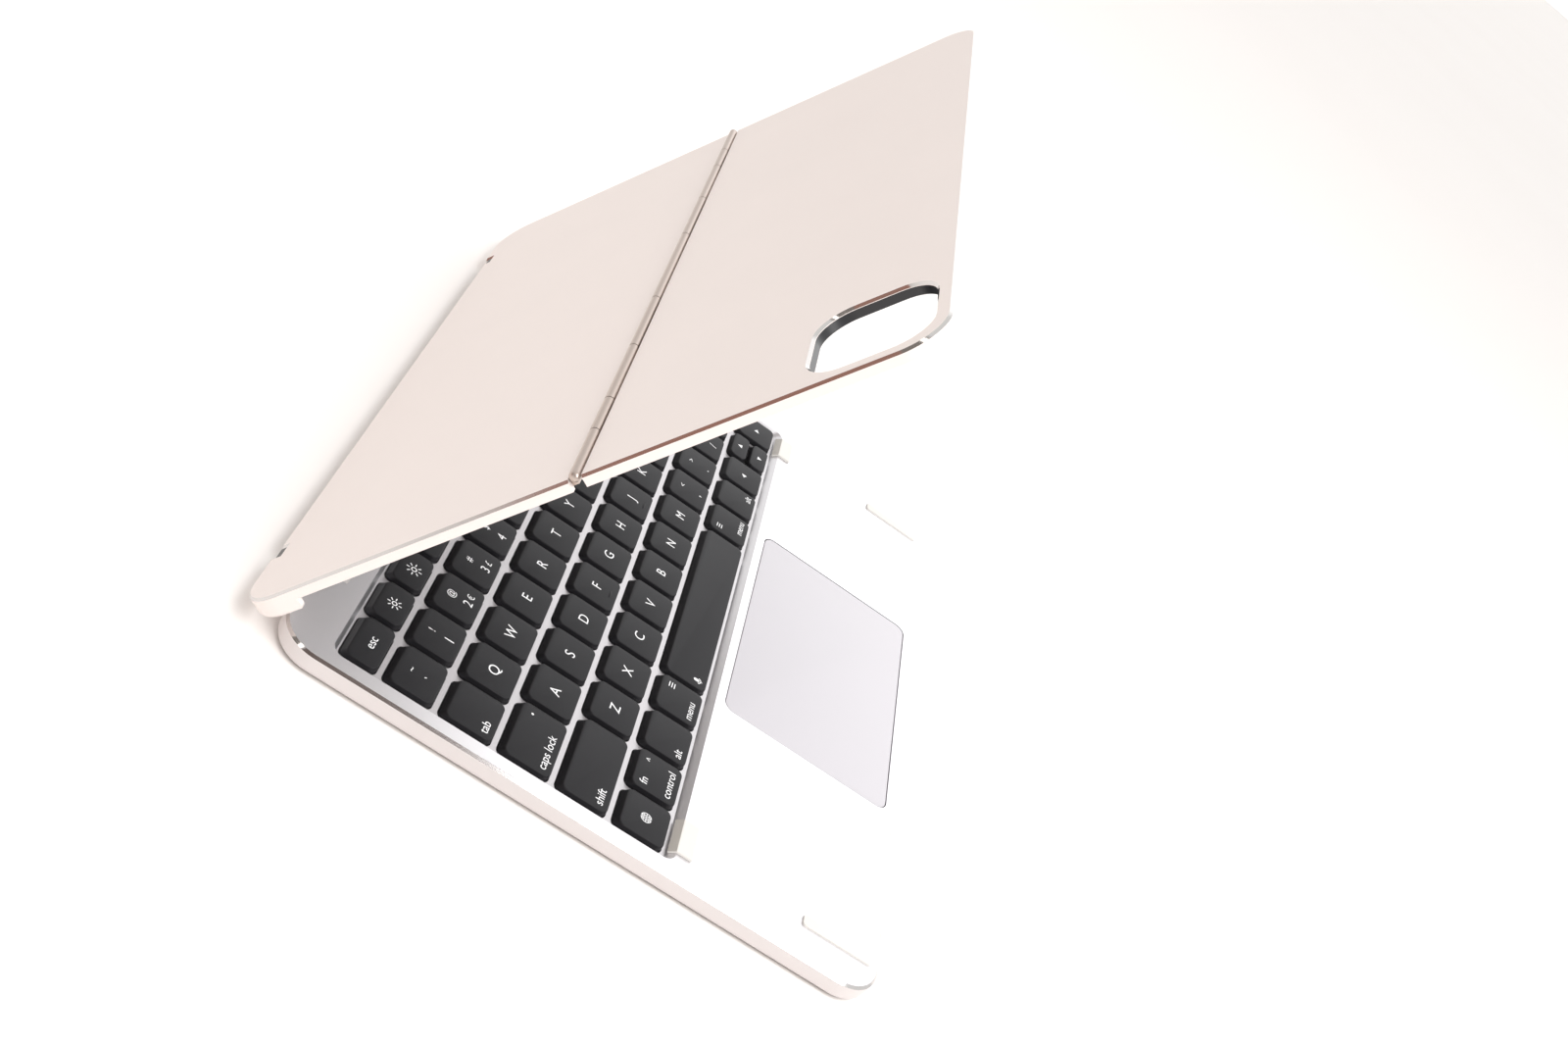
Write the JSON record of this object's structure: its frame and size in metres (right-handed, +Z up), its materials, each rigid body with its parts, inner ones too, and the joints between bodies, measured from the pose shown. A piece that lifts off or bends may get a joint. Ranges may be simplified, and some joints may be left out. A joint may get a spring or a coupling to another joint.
{
  "type": "tablet keyboard",
  "caption": "Metal keyboard case for a tablet: base with keys and a trackpad, and a hinged lid in two leaves with a camera opening.",
  "frame": {"origin": "bottom centre of the bounding box with the lid open as in the picture, on the plane of the rubber feet", "axes": "+X to the user's right along the hinge, +Y away from the user towards the hinge, +Z up"},
  "size_m": [0.251, 0.195, 0.1715],
  "materials": {
    "case_metal": "satin anodised",
    "deck_metal": "bead blasted",
    "lid_metal": "satin anodised",
    "hinge_metal": "satin anodised",
    "steel": "brushed",
    "magnet": "nickel plated",
    "key_plastic": "fine matt",
    "black_plastic": "matt",
    "sheet_plastic": "matt",
    "lining": "soft touch",
    "trackpad_glass": "etched satin, backed with paint",
    "pad_rubber": "matt",
    "foot_rubber": "matt",
    "dome_rubber": "matt",
    "cell_wrap": "film",
    "board": "solder mask",
    "flex": "film"
  },
  "bodies": {
    "base": {"bottom_shell": "case_metal", "deck_plate": "deck_metal", "key_frame": "deck_metal", "backing_plate": "steel", "membrane_sheet": "sheet_plastic", "dome_sheet": "dome_rubber", "scissor_links": "sheet_plastic", "trackpad_bracket": "steel", "trackpad_switch": "steel", "battery_cells": "cell_wrap", "main_board": "board", "flat_cable": "flex", "charging_socket": "steel", "slider_switch": "black_plastic", "rubber_feet": "foot_rubber", "palm_pads": "pad_rubber", "corner_bumpers": "pad_rubber", "case_screws": "steel", "hinge_housings": "hinge_metal", "hinge_screws": "steel", "friction_clips": "steel"},
    "lower_lid": {"lower_panel": "lid_metal", "lower_lining": "lining", "lid_spine": "hinge_metal", "hinge_shafts": "steel", "spine_screws": "steel", "lower_magnets": "magnet", "lower_knuckles": "lid_metal", "middle_hinge_pin": "steel"},
    "upper_lid": {"upper_panel": "lid_metal", "upper_lining": "lining", "camera_rim": "black_plastic", "tablet_magnets": "magnet", "upper_knuckles": "lid_metal"},
    "trackpad": {"trackpad_glass": "trackpad_glass"},
    "slider": {"power_slider": "case_metal"},
    "esc_key_body": {"esc_key": "key_plastic"},
    "function_keys_body": {"function_keys": "key_plastic"},
    "lock_key_body": {"lock_key": "key_plastic"},
    "number_keys_body": {"number_keys": "key_plastic"},
    "delete_key_body": {"delete_key": "key_plastic"},
    "tab_key_body": {"tab_key": "key_plastic"},
    "top_letter_keys_body": {"top_letter_keys": "key_plastic"},
    "caps_lock_key_body": {"caps_lock_key": "key_plastic"},
    "home_letter_keys_body": {"home_letter_keys": "key_plastic"},
    "return_key_body": {"return_key": "key_plastic"},
    "left_shift_key_body": {"left_shift_key": "key_plastic"},
    "bottom_letter_keys_body": {"bottom_letter_keys": "key_plastic"},
    "right_shift_key_body": {"right_shift_key": "key_plastic"},
    "fn_key_body": {"fn_key": "key_plastic"},
    "control_key_body": {"control_key": "key_plastic"},
    "left_alt_key_body": {"left_alt_key": "key_plastic"},
    "left_system_key_body": {"left_system_key": "key_plastic"},
    "space_key_body": {"space_key": "key_plastic"},
    "right_system_key_body": {"right_system_key": "key_plastic"},
    "right_alt_key_body": {"right_alt_key": "key_plastic"},
    "left_arrow_key_body": {"left_arrow_key": "key_plastic"},
    "up_arrow_key_body": {"up_arrow_key": "key_plastic"},
    "down_arrow_key_body": {"down_arrow_key": "key_plastic"},
    "right_arrow_key_body": {"right_arrow_key": "key_plastic"}
  },
  "joints": [
    {"name": "base_hinge", "type": "hinge", "parent": "base", "child": "lower_lid", "pos_m": [0, 0.08461, 0.0057], "axis": [1, 0, 0], "range_deg": [-15, 61.9]},
    {"name": "middle_hinge", "type": "hinge", "parent": "lower_lid", "child": "upper_lid", "pos_m": [0, 0.05217, 0.09086], "axis": [1, 0, 0], "range_deg": [-50, 0]},
    {"name": "trackpad_press", "type": "slide", "parent": "base", "child": "trackpad", "axis": [0, 0, -1], "range_m": [0, 0.00025], "stiffness_N_per_m": 8000, "springref_m": -0.0001},
    {"name": "power_slide", "type": "slide", "parent": "base", "child": "slider", "axis": [0, 1, 0], "range_m": [0, 0.0025]},
    {"name": "esc_key_press", "type": "slide", "parent": "base", "child": "esc_key_body", "axis": [0, 0, -1], "range_m": [0, 0.001], "stiffness_N_per_m": 600, "springref_m": -0.0005},
    {"name": "function_keys_press", "type": "slide", "parent": "base", "child": "function_keys_body", "axis": [0, 0, -1], "range_m": [0, 0.001], "stiffness_N_per_m": 600, "springref_m": -0.0005},
    {"name": "lock_key_press", "type": "slide", "parent": "base", "child": "lock_key_body", "axis": [0, 0, -1], "range_m": [0, 0.001], "stiffness_N_per_m": 600, "springref_m": -0.0005},
    {"name": "number_keys_press", "type": "slide", "parent": "base", "child": "number_keys_body", "axis": [0, 0, -1], "range_m": [0, 0.001], "stiffness_N_per_m": 600, "springref_m": -0.0005},
    {"name": "delete_key_press", "type": "slide", "parent": "base", "child": "delete_key_body", "axis": [0, 0, -1], "range_m": [0, 0.001], "stiffness_N_per_m": 600, "springref_m": -0.0005},
    {"name": "tab_key_press", "type": "slide", "parent": "base", "child": "tab_key_body", "axis": [0, 0, -1], "range_m": [0, 0.001], "stiffness_N_per_m": 600, "springref_m": -0.0005},
    {"name": "top_letter_keys_press", "type": "slide", "parent": "base", "child": "top_letter_keys_body", "axis": [0, 0, -1], "range_m": [0, 0.001], "stiffness_N_per_m": 600, "springref_m": -0.0005},
    {"name": "caps_lock_key_press", "type": "slide", "parent": "base", "child": "caps_lock_key_body", "axis": [0, 0, -1], "range_m": [0, 0.001], "stiffness_N_per_m": 600, "springref_m": -0.0005},
    {"name": "home_letter_keys_press", "type": "slide", "parent": "base", "child": "home_letter_keys_body", "axis": [0, 0, -1], "range_m": [0, 0.001], "stiffness_N_per_m": 600, "springref_m": -0.0005},
    {"name": "return_key_press", "type": "slide", "parent": "base", "child": "return_key_body", "axis": [0, 0, -1], "range_m": [0, 0.001], "stiffness_N_per_m": 600, "springref_m": -0.0005},
    {"name": "left_shift_key_press", "type": "slide", "parent": "base", "child": "left_shift_key_body", "axis": [0, 0, -1], "range_m": [0, 0.001], "stiffness_N_per_m": 600, "springref_m": -0.0005},
    {"name": "bottom_letter_keys_press", "type": "slide", "parent": "base", "child": "bottom_letter_keys_body", "axis": [0, 0, -1], "range_m": [0, 0.001], "stiffness_N_per_m": 600, "springref_m": -0.0005},
    {"name": "right_shift_key_press", "type": "slide", "parent": "base", "child": "right_shift_key_body", "axis": [0, 0, -1], "range_m": [0, 0.001], "stiffness_N_per_m": 600, "springref_m": -0.0005},
    {"name": "fn_key_press", "type": "slide", "parent": "base", "child": "fn_key_body", "axis": [0, 0, -1], "range_m": [0, 0.001], "stiffness_N_per_m": 600, "springref_m": -0.0005},
    {"name": "control_key_press", "type": "slide", "parent": "base", "child": "control_key_body", "axis": [0, 0, -1], "range_m": [0, 0.001], "stiffness_N_per_m": 600, "springref_m": -0.0005},
    {"name": "left_alt_key_press", "type": "slide", "parent": "base", "child": "left_alt_key_body", "axis": [0, 0, -1], "range_m": [0, 0.001], "stiffness_N_per_m": 600, "springref_m": -0.0005},
    {"name": "left_system_key_press", "type": "slide", "parent": "base", "child": "left_system_key_body", "axis": [0, 0, -1], "range_m": [0, 0.001], "stiffness_N_per_m": 600, "springref_m": -0.0005},
    {"name": "space_key_press", "type": "slide", "parent": "base", "child": "space_key_body", "axis": [0, 0, -1], "range_m": [0, 0.001], "stiffness_N_per_m": 600, "springref_m": -0.0005},
    {"name": "right_system_key_press", "type": "slide", "parent": "base", "child": "right_system_key_body", "axis": [0, 0, -1], "range_m": [0, 0.001], "stiffness_N_per_m": 600, "springref_m": -0.0005},
    {"name": "right_alt_key_press", "type": "slide", "parent": "base", "child": "right_alt_key_body", "axis": [0, 0, -1], "range_m": [0, 0.001], "stiffness_N_per_m": 600, "springref_m": -0.0005},
    {"name": "left_arrow_key_press", "type": "slide", "parent": "base", "child": "left_arrow_key_body", "axis": [0, 0, -1], "range_m": [0, 0.001], "stiffness_N_per_m": 600, "springref_m": -0.0005},
    {"name": "up_arrow_key_press", "type": "slide", "parent": "base", "child": "up_arrow_key_body", "axis": [0, 0, -1], "range_m": [0, 0.001], "stiffness_N_per_m": 600, "springref_m": -0.0005},
    {"name": "down_arrow_key_press", "type": "slide", "parent": "base", "child": "down_arrow_key_body", "axis": [0, 0, -1], "range_m": [0, 0.001], "stiffness_N_per_m": 600, "springref_m": -0.0005},
    {"name": "right_arrow_key_press", "type": "slide", "parent": "base", "child": "right_arrow_key_body", "axis": [0, 0, -1], "range_m": [0, 0.001], "stiffness_N_per_m": 600, "springref_m": -0.0005}
  ]
}
